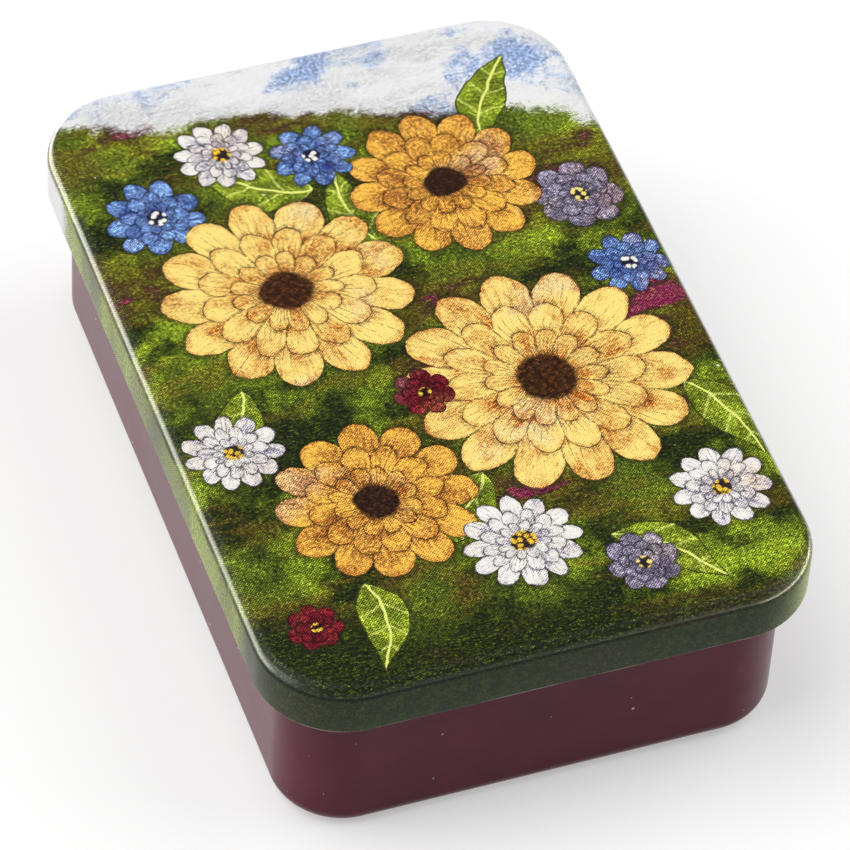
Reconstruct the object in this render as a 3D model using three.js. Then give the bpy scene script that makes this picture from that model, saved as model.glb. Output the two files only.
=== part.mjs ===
// A pocket tin: a small tinplate box for papers and keepsakes, closed by a slip-on lid.
// Each half is pressed from one sheet. The lid's skirt ends in a hem folded up inside it, and
// the base's wall ends in a rim rolled outwards, which the hem slips down past.
// Units are millimetres. +Z is up and +Y runs along the tin. The origin lies under the middle
// of the base, on the surface that the tin stands on.
import * as THREE from "three";

// Overall sizes of the closed tin, over the lid.
const LENGTH = 75;
const WIDTH = 50;
const HEIGHT = 20.5;
const SHEET_THICKNESS = 0.25;

// The lid. The hem is the sheet folded back on itself round a narrow opening.
const LID_CORNER_RADIUS = 7.9;
const LID_EDGE_RADIUS = 1.25;
const SKIRT_DEPTH = 5.2;
const HEM_OPENING = 0.15;
const HEM_HEIGHT = 1.3;

// The base. Its foot is the flat ring round the raised panel underneath.
const RIM_DIAMETER = 1.45;
const FOOT_EDGE_RADIUS = 2;
const FOOT_WIDTH = 1.6;
const PANEL_LIFT = 0.5;
const PANEL_STEP_WIDTH = 0.9;

// Clearances between the two halves. The corners have more than the sides.
const SIDE_CLEARANCE = 0.2;
const SEAT_CLEARANCE = 0.3;
const CORNER_CLEARANCE = 0.57;

// Where the rolled rim ends, seen in section: 0 points outwards and -90 straight down.
const RIM_END_DEGREES = -110;

// How finely the round parts are cut.
const CORNER_STEPS = 11;
const EDGE_STEPS = 6;
const HEM_STEPS = 8;
const HEM_INSIDE_STEPS = 4;
const RIM_STEPS = 14;
const RIM_INSIDE_STEPS = 10;
const PANEL_STEPS = 5;

const HEM_THICKNESS = 2 * SHEET_THICKNESS + HEM_OPENING;

// The base's wall stands in from the lid's by the hem, the side clearance and the rim.
const WALL_INSET = HEM_THICKNESS + SIDE_CLEARANCE + RIM_DIAMETER - SHEET_THICKNESS;

const LID_OUTLINE = { width: WIDTH, length: LENGTH, radius: LID_CORNER_RADIUS };
const BASE_OUTLINE = {
  width: WIDTH - 2 * WALL_INSET,
  length: LENGTH - 2 * WALL_INSET,
  radius: LID_CORNER_RADIUS - WALL_INSET + CORNER_CLEARANCE,
};

// A section is a list of points round the sheet, seen from its edge: x is how far a point
// lies outside the piece's outline, and y is its height.

/** Points along an arc from one angle to another, both ends included. */
function arc(centre, radius, fromDegrees, toDegrees, steps) {
  return Array.from({ length: steps + 1 }, (_, i) => {
    const degrees = THREE.MathUtils.lerp(fromDegrees, toDegrees, i / steps);
    const angle = THREE.MathUtils.degToRad(degrees);
    return new THREE.Vector2(
      centre.x + radius * Math.cos(angle),
      centre.y + radius * Math.sin(angle),
    );
  });
}

/** One face of the soft step from the foot ring up to the raised panel. */
function panelStep(faceHeight) {
  const start = -FOOT_EDGE_RADIUS - FOOT_WIDTH;
  return Array.from({ length: PANEL_STEPS + 1 }, (_, i) => {
    const share = i / PANEL_STEPS;
    const liftShare = (1 - Math.cos(Math.PI * share)) / 2;
    return new THREE.Vector2(
      start - PANEL_STEP_WIDTH * share,
      faceHeight + PANEL_LIFT * liftShare,
    );
  });
}

/** The lid's section: out over the edge, down the skirt, round the hem and back inside. */
function lidSection() {
  const edge = new THREE.Vector2(-LID_EDGE_RADIUS, SKIRT_DEPTH - LID_EDGE_RADIUS);
  const foldRadius = HEM_THICKNESS / 2;
  const fold = new THREE.Vector2(-foldRadius, foldRadius);
  return [
    ...arc(edge, LID_EDGE_RADIUS, 90, 0, EDGE_STEPS),
    ...arc(fold, foldRadius, 0, -180, HEM_STEPS),
    new THREE.Vector2(-HEM_THICKNESS, HEM_HEIGHT),
    new THREE.Vector2(SHEET_THICKNESS - HEM_THICKNESS, HEM_HEIGHT),
    ...arc(fold, HEM_OPENING / 2, -180, 0, HEM_INSIDE_STEPS),
    ...arc(edge, LID_EDGE_RADIUS - SHEET_THICKNESS, 0, 90, EDGE_STEPS),
  ];
}

/** The base's section: out over the foot, up the wall, round the rim and back down outside. */
function baseSection() {
  const foot = new THREE.Vector2(-FOOT_EDGE_RADIUS, FOOT_EDGE_RADIUS);
  const rimRadius = RIM_DIAMETER / 2;
  const rimTop = HEIGHT - SHEET_THICKNESS - SEAT_CLEARANCE;
  const rim = new THREE.Vector2(rimRadius - SHEET_THICKNESS, rimTop - rimRadius);
  return [
    ...panelStep(SHEET_THICKNESS).reverse(),
    ...arc(foot, FOOT_EDGE_RADIUS - SHEET_THICKNESS, -90, 0, EDGE_STEPS),
    ...arc(rim, rimRadius, 180, RIM_END_DEGREES, RIM_STEPS),
    ...arc(rim, rimRadius - SHEET_THICKNESS, RIM_END_DEGREES, 180, RIM_INSIDE_STEPS),
    ...arc(foot, FOOT_EDGE_RADIUS, 0, -90, EDGE_STEPS),
    ...panelStep(0),
  ];
}

/** The outline grown by a distance: four corner arcs joined by straight sides, from above. */
function ringOf(outline, outside) {
  const radius = outline.radius + outside;
  const centreX = outline.width / 2 - outline.radius;
  const centreY = outline.length / 2 - outline.radius;
  const corners = [
    { x: centreX, y: centreY, from: 0 },
    { x: -centreX, y: centreY, from: 90 },
    { x: -centreX, y: -centreY, from: 180 },
    { x: centreX, y: -centreY, from: 270 },
  ];
  return corners.flatMap(({ x, y, from }) =>
    arc(new THREE.Vector2(x, y), radius, from, from + 90, CORNER_STEPS),
  );
}

/** A pressed sheet: its section carried round its outline, with a flat panel closing each end. */
function pressedSheet(outline, section) {
  const positions = [];
  const faces = [];
  const rings = section.map(({ x, y }) => {
    const first = positions.length / 3;
    const ring = ringOf(outline, x);
    for (const point of ring) {
      positions.push(point.x, point.y, y);
    }
    return { first, count: ring.length };
  });
  const following = (ring, i) => ring.first + ((i + 1) % ring.count);

  for (let k = 1; k < rings.length; k += 1) {
    const before = rings[k - 1];
    const after = rings[k];
    for (let i = 0; i < before.count; i += 1) {
      faces.push(before.first + i, after.first + i, following(after, i));
      faces.push(before.first + i, following(after, i), following(before, i));
    }
  }

  const closePanel = (ring, height, facesUp) => {
    const middle = positions.length / 3;
    positions.push(0, 0, height);
    for (let i = 0; i < ring.count; i += 1) {
      const side = [ring.first + i, following(ring, i)];
      faces.push(middle, ...(facesUp ? side : side.reverse()));
    }
  };
  closePanel(rings.at(0), section.at(0).y, true);
  closePanel(rings.at(-1), section.at(-1).y, false);

  const geometry = new THREE.BufferGeometry();
  geometry.setAttribute("position", new THREE.Float32BufferAttribute(positions, 3));
  geometry.setIndex(faces);
  geometry.computeVertexNormals();
  return geometry;
}

const printedTin = new THREE.MeshStandardMaterial({
  color: "#5a6126",
  roughness: 0.4,
  metalness: 0,
});
const plumEnamel = new THREE.MeshStandardMaterial({
  color: "#4b3137",
  roughness: 0.32,
  metalness: 0,
});

const base = new THREE.Mesh(pressedSheet(BASE_OUTLINE, baseSection()), plumEnamel);
base.name = "base";

const lid = new THREE.Mesh(pressedSheet(LID_OUTLINE, lidSection()), printedTin);
lid.name = "lid";
lid.position.z = HEIGHT - SKIRT_DEPTH;

const pocketTin = new THREE.Group();
pocketTin.add(base, lid);

export default pocketTin;
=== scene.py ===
"""The looks of a pocket tin: a printed slip-on lid over a plum base, each pressed from one sheet.

Every length is in metres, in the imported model's frame: +Z up, +Y along the tin, origin under
the middle of the base. Overall sizes come from the frame, and the sheet's own sizes are fields
of the two pressings.
"""

import logging
import math
from dataclasses import dataclass, field
from enum import Enum

import bpy
from mathutils import Matrix, Vector


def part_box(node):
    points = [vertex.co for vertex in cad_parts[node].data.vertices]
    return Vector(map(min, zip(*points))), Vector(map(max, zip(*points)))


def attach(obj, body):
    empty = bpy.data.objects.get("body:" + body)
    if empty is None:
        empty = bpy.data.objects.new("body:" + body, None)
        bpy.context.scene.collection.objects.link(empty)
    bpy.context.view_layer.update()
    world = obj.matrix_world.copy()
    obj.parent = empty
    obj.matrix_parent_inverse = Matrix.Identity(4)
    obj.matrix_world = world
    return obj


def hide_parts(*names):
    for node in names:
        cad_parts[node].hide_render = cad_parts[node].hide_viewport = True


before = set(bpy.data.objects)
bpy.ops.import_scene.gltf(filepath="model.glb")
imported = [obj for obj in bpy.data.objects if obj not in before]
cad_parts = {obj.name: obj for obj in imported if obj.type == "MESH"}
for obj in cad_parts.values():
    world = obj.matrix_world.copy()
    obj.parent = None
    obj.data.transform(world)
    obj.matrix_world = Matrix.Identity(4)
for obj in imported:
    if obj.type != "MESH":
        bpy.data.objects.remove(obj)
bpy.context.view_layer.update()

LOG = logging.getLogger("pocket_tin")
MM = 0.001

Socket = bpy.types.NodeSocket
Material = bpy.types.Material
Value = float | tuple[float, ...] | Socket
Inputs = dict[str | int, Value]
Colour = tuple[float, ...]
Span = tuple[float, float]

# Weights that pick one part of a point, or drop its height.
ACROSS = (1.0, 0.0, 0.0)
ALONG = (0.0, 1.0, 0.0)
UP = (0.0, 0.0, 1.0)
FLAT = (1.0, 1.0, 0.0)


def srgb(red: int, green: int, blue: int) -> Colour:
    """A colour from its 0 to 255 picture values, in the linear form that shaders use.

    Args:
        red: the red value.
        green: the green value.
        blue: the blue value.

    Returns:
        The colour with full alpha.
    """
    foot, slope, offset, power = 0.04045, 12.92, 0.055, 2.4
    shares = [level / 255 for level in (red, green, blue)]
    linear = [share / slope if share <= foot else ((share + offset) / (1 + offset)) ** power
              for share in shares]
    return (*linear, 1.0)


def add_object(name: str, data: bpy.types.ID) -> bpy.types.Object:
    """A new object in the scene, at the origin.

    Args:
        name: its name.
        data: its mesh, lamp or camera.

    Returns:
        The object.
    """
    thing = bpy.data.objects.new(name, data)
    bpy.context.scene.collection.objects.link(thing)
    return thing


class Face(Enum):
    """Which face of the sheet a section point lies on."""

    INSIDE = 0.0
    OUTSIDE = 1.0


@dataclass(frozen=True)
class SectionPoint:
    """A point round the sheet's section.

    Args:
        outside: how far it lies outside the piece's outline.
        height: its height above the standing surface.
        face: the face of the sheet that it lies on.
    """

    outside: float
    height: float
    face: Face


def arc(centre: Span, radius: float, start: float, end: float, steps: int,
        face: Face) -> list[SectionPoint]:
    """Points along an arc of a section, both ends included.

    Args:
        centre: the arc's centre, as outside and height.
        radius: the arc's radius.
        start: the first angle in degrees, where 0 points outwards and 90 up.
        end: the last angle in degrees.
        steps: how many chords the arc has.
        face: the face of the sheet that it lies on.

    Returns:
        The points in order from start to end.
    """
    points = []
    for step in range(steps + 1):
        angle = math.radians(start + (end - start) * step / steps)
        points.append(SectionPoint(centre[0] + radius * math.cos(angle),
                                   centre[1] + radius * math.sin(angle), face))
    return points


class Nodes:
    """Adds and links nodes in one tree, so that a material or a shape reads as sums."""

    def __init__(self, tree: bpy.types.NodeTree) -> None:
        """Keeps the tree that nodes go into."""
        self.tree = tree

    def put(self, kind: str, inputs: Inputs | None = None,
            **settings: object) -> bpy.types.Node:
        """Adds a node.

        Args:
            kind: the node's type.
            inputs: values or sockets by the input's name or index.
            settings: the node's own properties.

        Returns:
            The new node.
        """
        node = self.tree.nodes.new(kind)
        for name, value in settings.items():
            setattr(node, name, value)
        for name, value in (inputs or {}).items():
            self.into(node, name, value)
        return node

    def into(self, node: bpy.types.Node, name: str | int, value: Value) -> None:
        """Sets one input of a node, by a value or a link.

        Args:
            node: the node.
            name: the input's name or index.
            value: the value, or the socket to link.
        """
        if isinstance(value, bpy.types.NodeSocket):
            self.tree.links.new(value, node.inputs[name])
        else:
            node.inputs[name].default_value = value

    def math(self, operation: str, *values: Value, clamp: bool = False) -> Socket:
        """The result of a Math node on the values."""
        return self.put("ShaderNodeMath", dict(enumerate(values)), operation=operation,
                        use_clamp=clamp).outputs[0]

    def plus(self, first: Value, second: Value) -> Socket:
        """The sum of two numbers."""
        return self.math("ADD", first, second)

    def minus(self, first: Value, second: Value) -> Socket:
        """The first number less the second."""
        return self.math("SUBTRACT", first, second)

    def over(self, first: Value, second: Value) -> Socket:
        """The first number divided by the second."""
        return self.math("DIVIDE", first, second)

    def times(self, first: Value, *others: Value) -> Socket:
        """The product of numbers, multiplied from the left.

        Args:
            first: the first number.
            others: the numbers that follow.

        Returns:
            The product.
        """
        for other in others:
            first = self.math("MULTIPLY", first, other)
        return first

    def line(self, value: Value, slope: Value, start: Value) -> Socket:
        """A number times slope, plus start."""
        return self.math("MULTIPLY_ADD", value, slope, start)

    def vector(self, operation: str, *values: Value, result: int | str = 0) -> Socket:
        """The result of a Vector Math node on the values."""
        return self.put("ShaderNodeVectorMath", dict(enumerate(values)),
                        operation=operation).outputs[result]

    def scaled(self, vector: Value, scale: Value) -> Socket:
        """A vector times a number."""
        return self.put("ShaderNodeVectorMath", {0: vector, "Scale": scale},
                        operation="SCALE").outputs[0]

    def joined(self, x: Value, y: Value, z: Value) -> Socket:
        """A vector of three numbers."""
        return self.put("ShaderNodeCombineXYZ", {0: x, 1: y, 2: z}).outputs[0]

    def dot(self, first: Value, second: Value) -> Socket:
        """The dot product of two vectors."""
        return self.vector("DOT_PRODUCT", first, second, result="Value")

    def parts(self, vector: Value) -> tuple[Socket, Socket, Socket]:
        """A vector's three numbers.

        Dot products take it apart, because a Separate XYZ node converts it to a colour first,
        and Cycles then keeps the values of all flowers at once and runs out of room.

        Args:
            vector: the vector.

        Returns:
            Its parts across, along and up.
        """
        return tuple(self.dot(vector, axis) for axis in (ACROSS, ALONG, UP))

    def _mix(self, kind: str, share: Value, first: Value, second: Value) -> Socket:
        """A Mix node's result on two values of one kind.

        Args:
            kind: the kind of the values.
            share: 0 for all first, 1 for all second.
            first: the first value.
            second: the second value.

        Returns:
            The mixed value.
        """
        node = self.put("ShaderNodeMix", data_type=kind)
        ends = [i for i, socket in enumerate(node.inputs) if socket.type == kind][-2:]
        for place, value in zip((0, *ends), (share, first, second)):
            self.into(node, place, value)
        return next(socket for socket in node.outputs if socket.type == kind)

    def choose(self, top: Value, first: Value, second: Value) -> Socket:
        """The first vector where top is 0, or the second where it is 1."""
        return self._mix("VECTOR", top, first, second)

    def blend(self, share: Value, first: Value, second: Value) -> Socket:
        """A mix of two colours, all first at 0 and all second at 1."""
        return self._mix("RGBA", share, first, second)

    def layers(self, colour: Value, *coats: tuple[Value, Value]) -> Socket:
        """A colour with others laid over it in turn.

        Args:
            colour: the lowest colour.
            coats: the share and the colour of each one over it.

        Returns:
            The colour on top.
        """
        for share, tone in coats:
            colour = self.blend(share, colour, tone)
        return colour

    def steps(self, value: Value, colours: tuple[Colour, ...]) -> Socket:
        """One of several colours.

        Args:
            value: the number from 0 to 1 that picks it.
            colours: the colours, each over an equal share of the range.

        Returns:
            The colour.
        """
        node = self.put("ShaderNodeValToRGB", {0: value})
        ramp = node.color_ramp
        ramp.interpolation = "CONSTANT"
        while len(ramp.elements) < len(colours):
            ramp.elements.new(1.0)
        for i, colour in enumerate(colours):
            ramp.elements[i].position = i / len(colours)
            ramp.elements[i].color = colour
        return node.outputs[0]

    def step(self, value: Value, low: Value, high: Value, top: float = 1.0) -> Socket:
        """A smooth rise from 0 to top.

        Args:
            value: the number that it follows.
            low: where it leaves 0.
            high: where it reaches the top, above low or below it.
            top: its largest value.

        Returns:
            The risen value.
        """
        rise = self.put("ShaderNodeMapRange",
                        {"Value": value, "From Min": low, "From Max": high},
                        interpolation_type="SMOOTHSTEP").outputs[0]
        return rise if top == 1.0 else self.times(rise, top)

    def noise(self, vector: Value, size: Value, detail: float,
              roughness: float = 0.5) -> Socket:
        """A cloudy number between 0 and 1.

        Args:
            vector: the point that it varies with.
            size: the size of its clouds.
            detail: how many finer layers it has.
            roughness: how strong the finer layers are.

        Returns:
            The number.
        """
        scale = 1 / size if isinstance(size, float) else self.over(1.0, size)
        return self.put("ShaderNodeTexNoise", {"Vector": vector, "Scale": scale,
                                               "Detail": detail,
                                               "Roughness": roughness}).outputs[0]

    def cells(self, vector: Value, scale: Value) -> bpy.types.Node:
        """A flat pattern of cells, each round a point of its own."""
        return self.put("ShaderNodeTexVoronoi", {"Vector": vector, "Scale": scale},
                        voronoi_dimensions="2D")

    def use(self, effect: "Effect", inputs: Inputs) -> dict[str, Socket]:
        """The outputs, by name, of a shared effect with these values."""
        node = self.put("ShaderNodeGroup", inputs, node_tree=effect.tree)
        return {socket.name: socket for socket in node.outputs}


class Kind(Enum):
    """What a socket of a node group carries."""

    NUMBER = "NodeSocketFloat"
    COUNT = "NodeSocketInt"
    VECTOR = "NodeSocketVector"
    COLOUR = "NodeSocketColor"
    GEOMETRY = "NodeSocketGeometry"
    MATERIAL = "NodeSocketMaterial"


Sockets = dict[Kind, tuple[str, ...]]


class Group(Nodes):
    """A node group with named inputs and outputs."""

    TYPE = "ShaderNodeTree"

    def __init__(self, name: str, inputs: Sockets, outputs: Sockets) -> None:
        """Makes the empty group.

        Args:
            name: the group's name.
            inputs: the names of the inputs of each kind.
            outputs: the names of the outputs of each kind.
        """
        super().__init__(bpy.data.node_groups.new(name, self.TYPE))
        for way, sockets in (("INPUT", inputs), ("OUTPUT", outputs)):
            for kind, labels in sockets.items():
                for label in labels:
                    self.tree.interface.new_socket(label, in_out=way, socket_type=kind.value)
        self._given = self.tree.nodes.new("NodeGroupInput").outputs
        self._out = self.tree.nodes.new("NodeGroupOutput").inputs

    def __getitem__(self, label: str) -> Socket:
        """One of the group's inputs."""
        return self._given[label]

    def give(self, label: str, socket: Socket) -> None:
        """Sends a socket to one of the group's outputs."""
        self.tree.links.new(socket, self._out[label])


@dataclass(frozen=True)
class Outline:
    """A piece's rounded outline, seen from above.

    Args:
        width: its size along X.
        length: its size along Y.
        corner_radius: the radius of its four corners.
        corner_steps: how many chords each corner has.
    """

    width: float
    length: float
    corner_radius: float
    corner_steps: int = 28


class PressTree(Group):
    """The Geometry Nodes tree that carries a section round an outline and closes its panels."""

    TYPE = "GeometryNodeTree"
    WELD = 1e-6
    SHARP_ANGLE = math.radians(50)

    def __init__(self) -> None:
        """Builds the tree once, with the outline's sizes as named inputs."""
        super().__init__("pressed_sheet",
                         {Kind.GEOMETRY: ("Section",),
                          Kind.NUMBER: ("Width", "Length", "Corner Radius"),
                          Kind.COUNT: ("Corner Steps",),
                          Kind.MATERIAL: ("Outside Finish", "Inside Finish")},
                         {Kind.GEOMETRY: ("Sheet",)})
        self._build()

    def _here(self) -> Socket:
        """The place of each point."""
        return self.put("GeometryNodeInputPosition").outputs[0]

    def _named(self, name: str) -> Socket:
        """A number that each point of a geometry carries."""
        return self.put("GeometryNodeInputNamedAttribute", {"Name": name},
                        data_type="FLOAT").outputs["Attribute"]

    def _sampled(self, geometry: Socket, value: Socket, index: Value,
                 kind: str = "FLOAT_VECTOR") -> Socket:
        """A field of one geometry, read at an index.

        Args:
            geometry: the geometry.
            value: the field.
            index: the point that it is read at.
            kind: the field's kind.

        Returns:
            The value there.
        """
        node = self.put("GeometryNodeSampleIndex",
                        {"Geometry": geometry, "Value": value, "Index": index},
                        data_type=kind, domain="POINT")
        return node.outputs["Value"]

    def _read(self, name: str, index: Value) -> Socket:
        """A number that the section carries, read at one of its points."""
        return self._sampled(self["Section"], self._named(name), index, "FLOAT")

    def _split(self, vector: Socket) -> tuple[Socket, Socket]:
        """How far outside and how high a point of the section lies."""
        split = self.put("ShaderNodeSeparateXYZ", {0: vector}).outputs
        return split["X"], split["Z"]

    def _moved(self, geometry: Socket, offset: Socket) -> Socket:
        """The geometry with each point moved."""
        return self.put("GeometryNodeSetPosition",
                        {"Geometry": geometry, "Offset": offset}).outputs[0]

    def _marked(self, geometry: Socket, index: Value, unrolled: Socket) -> Socket:
        """Keeps what the finishes read on each point.

        Args:
            geometry: the geometry.
            index: the section's point that each point comes from.
            unrolled: the place of each point on the unrolled sheet.

        Returns:
            The geometry with its two attributes.
        """
        for name, kind, value in (("outside", "FLOAT", self._read("outside", index)),
                                  ("unrolled", "FLOAT_VECTOR", unrolled)):
            geometry = self.put("GeometryNodeStoreNamedAttribute",
                                {"Geometry": geometry, "Name": name, "Value": value},
                                data_type=kind, domain="POINT").outputs[0]
        return geometry

    def _outline(self) -> tuple[Socket, Socket]:
        """Lays out the rounded outline.

        Returns:
            The outline as a closed curve, and the field of its outward directions.
        """
        width, length, radius = self["Width"], self["Length"], self["Corner Radius"]
        rectangle = self.put("GeometryNodeCurvePrimitiveQuadrilateral",
                             {"Width": width, "Height": length})
        fillet = self.put("GeometryNodeFilletCurve",
                          {"Curve": rectangle.outputs[0], "Count": self["Corner Steps"],
                           "Radius": radius}, mode="POLY")
        place = self._here()
        half = self.scaled(self.joined(width, length, 0.0), 0.5)
        core = self.vector("SUBTRACT", half, self.joined(radius, radius, 0.0))
        raised = self.vector("MAXIMUM", place, self.scaled(core, -1.0))
        away = self.vector("SUBTRACT", place, self.vector("MINIMUM", raised, core))
        return fillet.outputs[0], self.vector("NORMALIZE", away)

    def _panel(self, curve: Socket, outward: Socket, ring: Value, faces_up: bool) -> Socket:
        """The flat panel that closes the section at one of its ends.

        Args:
            curve: the outline.
            outward: its outward directions.
            ring: the section's point at that end.
            faces_up: whether the panel faces up.

        Returns:
            The panel.
        """
        outside, height = self._split(self._sampled(self["Section"], self._here(), ring))
        grown = self._moved(curve, self.scaled(outward, outside))
        filled = self.put("GeometryNodeFillCurve", {0: grown}, mode="NGONS")
        panel = self._moved(filled.outputs[0], self.joined(0.0, 0.0, height))
        if not faces_up:
            panel = self.put("GeometryNodeFlipFaces", {0: panel}).outputs[0]
        return self._marked(panel, ring, self._here())

    def _build(self) -> None:
        """Lays out the walls, the two panels, the weld and the finishes."""
        section = self["Section"]
        curve, outward = self._outline()
        rings, around = (
            self.put("GeometryNodeAttributeDomainSize", {0: geometry},
                     component=kind).outputs["Point Count"]
            for geometry, kind in ((section, "MESH"), (curve, "CURVE")))
        grid = self.put("GeometryNodeMeshGrid", {"Vertices X": self.plus(around, 1.0),
                                                 "Vertices Y": rings})
        index = self.put("GeometryNodeInputIndex").outputs[0]
        column = self.math("MODULO", self.math("FLOOR", self.over(index, rings)), around)
        row = self.math("MODULO", index, rings)
        here = self._here()
        on_outline = self._sampled(curve, here, column)
        direction = self._sampled(curve, outward, column)
        outside, height = self._split(self._sampled(section, here, row))
        grown = self.vector("ADD", on_outline, self.scaled(direction, outside))
        unrolled = self.vector("ADD", on_outline,
                               self.scaled(direction, self._read("run", row)))
        place = self.vector("ADD", grown, self.joined(0.0, 0.0, height))
        marked = self._marked(grid.outputs["Mesh"], row, unrolled)
        walls = self.put("GeometryNodeSetPosition", {"Geometry": marked, "Position": place})
        turned = self.put("GeometryNodeFlipFaces", {0: walls.outputs[0]}).outputs[0]
        last = self.minus(rings, 1.0)
        joined = self.put("GeometryNodeJoinGeometry")
        for part in (turned, self._panel(curve, outward, 0, True),
                     self._panel(curve, outward, last, False)):
            self.tree.links.new(part, joined.inputs[0])
        welded = self.put("GeometryNodeMergeByDistance",
                          {"Geometry": joined.outputs[0], "Distance": self.WELD})
        self._finish(welded.outputs[0])

    def _finish(self, sheet: Socket) -> None:
        """Smooths the rounds, keeps the cut edges sharp and gives each face its finish.

        Args:
            sheet: the closed sheet.
        """
        smooth = self.put("GeometryNodeSetShadeSmooth", {"Geometry": sheet}, domain="FACE")
        angle = self.put("GeometryNodeInputMeshEdgeAngle").outputs[0]
        sharp = self.put("GeometryNodeSetShadeSmooth",
                         {"Geometry": smooth.outputs[0],
                          "Selection": self.math("GREATER_THAN", angle, self.SHARP_ANGLE),
                          "Shade Smooth": False}, domain="EDGE")
        plain = self.put("GeometryNodeRealizeInstances", {0: sharp.outputs[0]})
        inner = self.put("GeometryNodeSetMaterial", {"Geometry": plain.outputs[0],
                                                     "Material": self["Inside Finish"]})
        outer = self.put("GeometryNodeSetMaterial",
                         {"Geometry": inner.outputs[0],
                          "Selection": self.math("GREATER_THAN", self._named("outside"), 0.5),
                          "Material": self["Outside Finish"]})
        self.give("Sheet", outer.outputs[0])

    def press(self, name: str, outline: Outline, section: list[SectionPoint],
              outside: Material, inside: Material) -> bpy.types.Object:
        """Presses one sheet.

        Args:
            name: the piece's name.
            outline: its outline from above.
            section: its section, from one panel round to the other.
            outside: the finish of its outer face.
            inside: the finish of its inner face.

        Returns:
            The finished piece as a plain mesh object at the origin.
        """
        line = bpy.data.meshes.new(name + "_section")
        line.from_pydata([(p.outside, 0.0, p.height) for p in section],
                         [(i, i + 1) for i in range(len(section) - 1)], [])
        for label, numbers in (("outside", [p.face.value for p in section]),
                               ("run", runs_of(section))):
            line.attributes.new(label, "FLOAT", "POINT").data.foreach_set("value", numbers)
        blank = add_object(name + "_blank", line)
        modifier = blank.modifiers.new("press", "NODES")
        modifier.node_group = self.tree
        values = {"Width": outline.width, "Length": outline.length,
                  "Corner Radius": outline.corner_radius, "Corner Steps": outline.corner_steps,
                  "Outside Finish": outside, "Inside Finish": inside}
        for item in self.tree.interface.items_tree:
            if item.name in values and item.in_out == "INPUT":
                modifier[item.identifier] = values[item.name]
        graph = bpy.context.evaluated_depsgraph_get()
        pressed = bpy.data.meshes.new_from_object(blank.evaluated_get(graph),
                                                  preserve_all_data_layers=True,
                                                  depsgraph=graph)
        blank.modifiers.remove(modifier)
        bpy.data.objects.remove(blank)
        pressed.materials.pop(index=0)
        pressed.name = name
        return add_object(name, pressed)


def runs_of(section: list[SectionPoint]) -> list[float]:
    """How far outside the outline each point would lie if the sheet were unrolled flat.

    Args:
        section: the section's points in order.

    Returns:
        One distance for each point, measured along the sheet from the first.
    """
    runs = [section[0].outside]
    for before, after in zip(section, section[1:]):
        step = math.hypot(after.outside - before.outside, after.height - before.height)
        runs.append(runs[-1] + step)
    return runs


@dataclass
class Tin:
    """What the two pressings share, in the sheet's own sizes."""

    sheet: float = 0.25 * MM
    hem_opening: float = 0.15 * MM
    rim_diameter: float = 1.45 * MM
    side_clearance: float = 0.2 * MM
    seat_clearance: float = 0.3 * MM
    corner_clearance: float = 0.57 * MM
    lid_corner_radius: float = 7.9 * MM
    support: float = 0.12 * MM

    @property
    def hem(self) -> float:
        """The folded hem's thickness."""
        return 2 * self.sheet + self.hem_opening

    @property
    def wall_inset(self) -> float:
        """How far the base's wall stands in from the lid's."""
        return self.hem + self.side_clearance + self.rim_diameter - self.sheet


@dataclass
class Lid:
    """The printed lid: a flat panel, a rounded edge, a skirt and a hem folded up inside it."""

    tin: Tin
    edge_radius: float = 1.25 * MM
    hem_height: float = 1.3 * MM
    edge_steps: int = 14
    fold_steps: int = 14
    opening_steps: int = 6

    def section(self, bottom: float, top: float) -> list[SectionPoint]:
        """The lid's section, from the top of its panel round to the underside.

        Args:
            bottom: the height of the skirt's lowest line.
            top: the height of the panel's top.

        Returns:
            The section's points.
        """
        tin = self.tin
        edge = (-self.edge_radius, top - self.edge_radius)
        fold_radius = tin.hem / 2
        fold = (-fold_radius, bottom + fold_radius)
        inner = self.edge_radius - tin.sheet
        return [
            SectionPoint(-self.edge_radius - tin.support, top, Face.OUTSIDE),
            *arc(edge, self.edge_radius, 90, 0, self.edge_steps, Face.OUTSIDE),
            *arc(fold, fold_radius, 0, -180, self.fold_steps, Face.OUTSIDE),
            SectionPoint(-tin.hem, bottom + self.hem_height, Face.OUTSIDE),
            SectionPoint(tin.sheet - tin.hem, bottom + self.hem_height, Face.INSIDE),
            *arc(fold, tin.hem_opening / 2, -180, 0, self.opening_steps, Face.INSIDE),
            *arc(edge, inner, 0, 90, self.edge_steps, Face.INSIDE),
            SectionPoint(-self.edge_radius - tin.support, top - tin.sheet, Face.INSIDE),
        ]

    def build(self, press: PressTree, outside: Material, inside: Material) -> bpy.types.Object:
        """Presses the lid at the place and overall size that the frame gives.

        Args:
            press: the tree that presses it.
            outside: the finish of its outer face.
            inside: the finish of its inner face.

        Returns:
            The finished piece.
        """
        low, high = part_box("lid")
        outline = Outline(high.x - low.x, high.y - low.y, self.tin.lid_corner_radius)
        section = self.section(low.z, high.z)
        piece = press.press("lid_pressing", outline, section, outside, inside)
        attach(piece, "lid")
        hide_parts("lid")
        return piece


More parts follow.
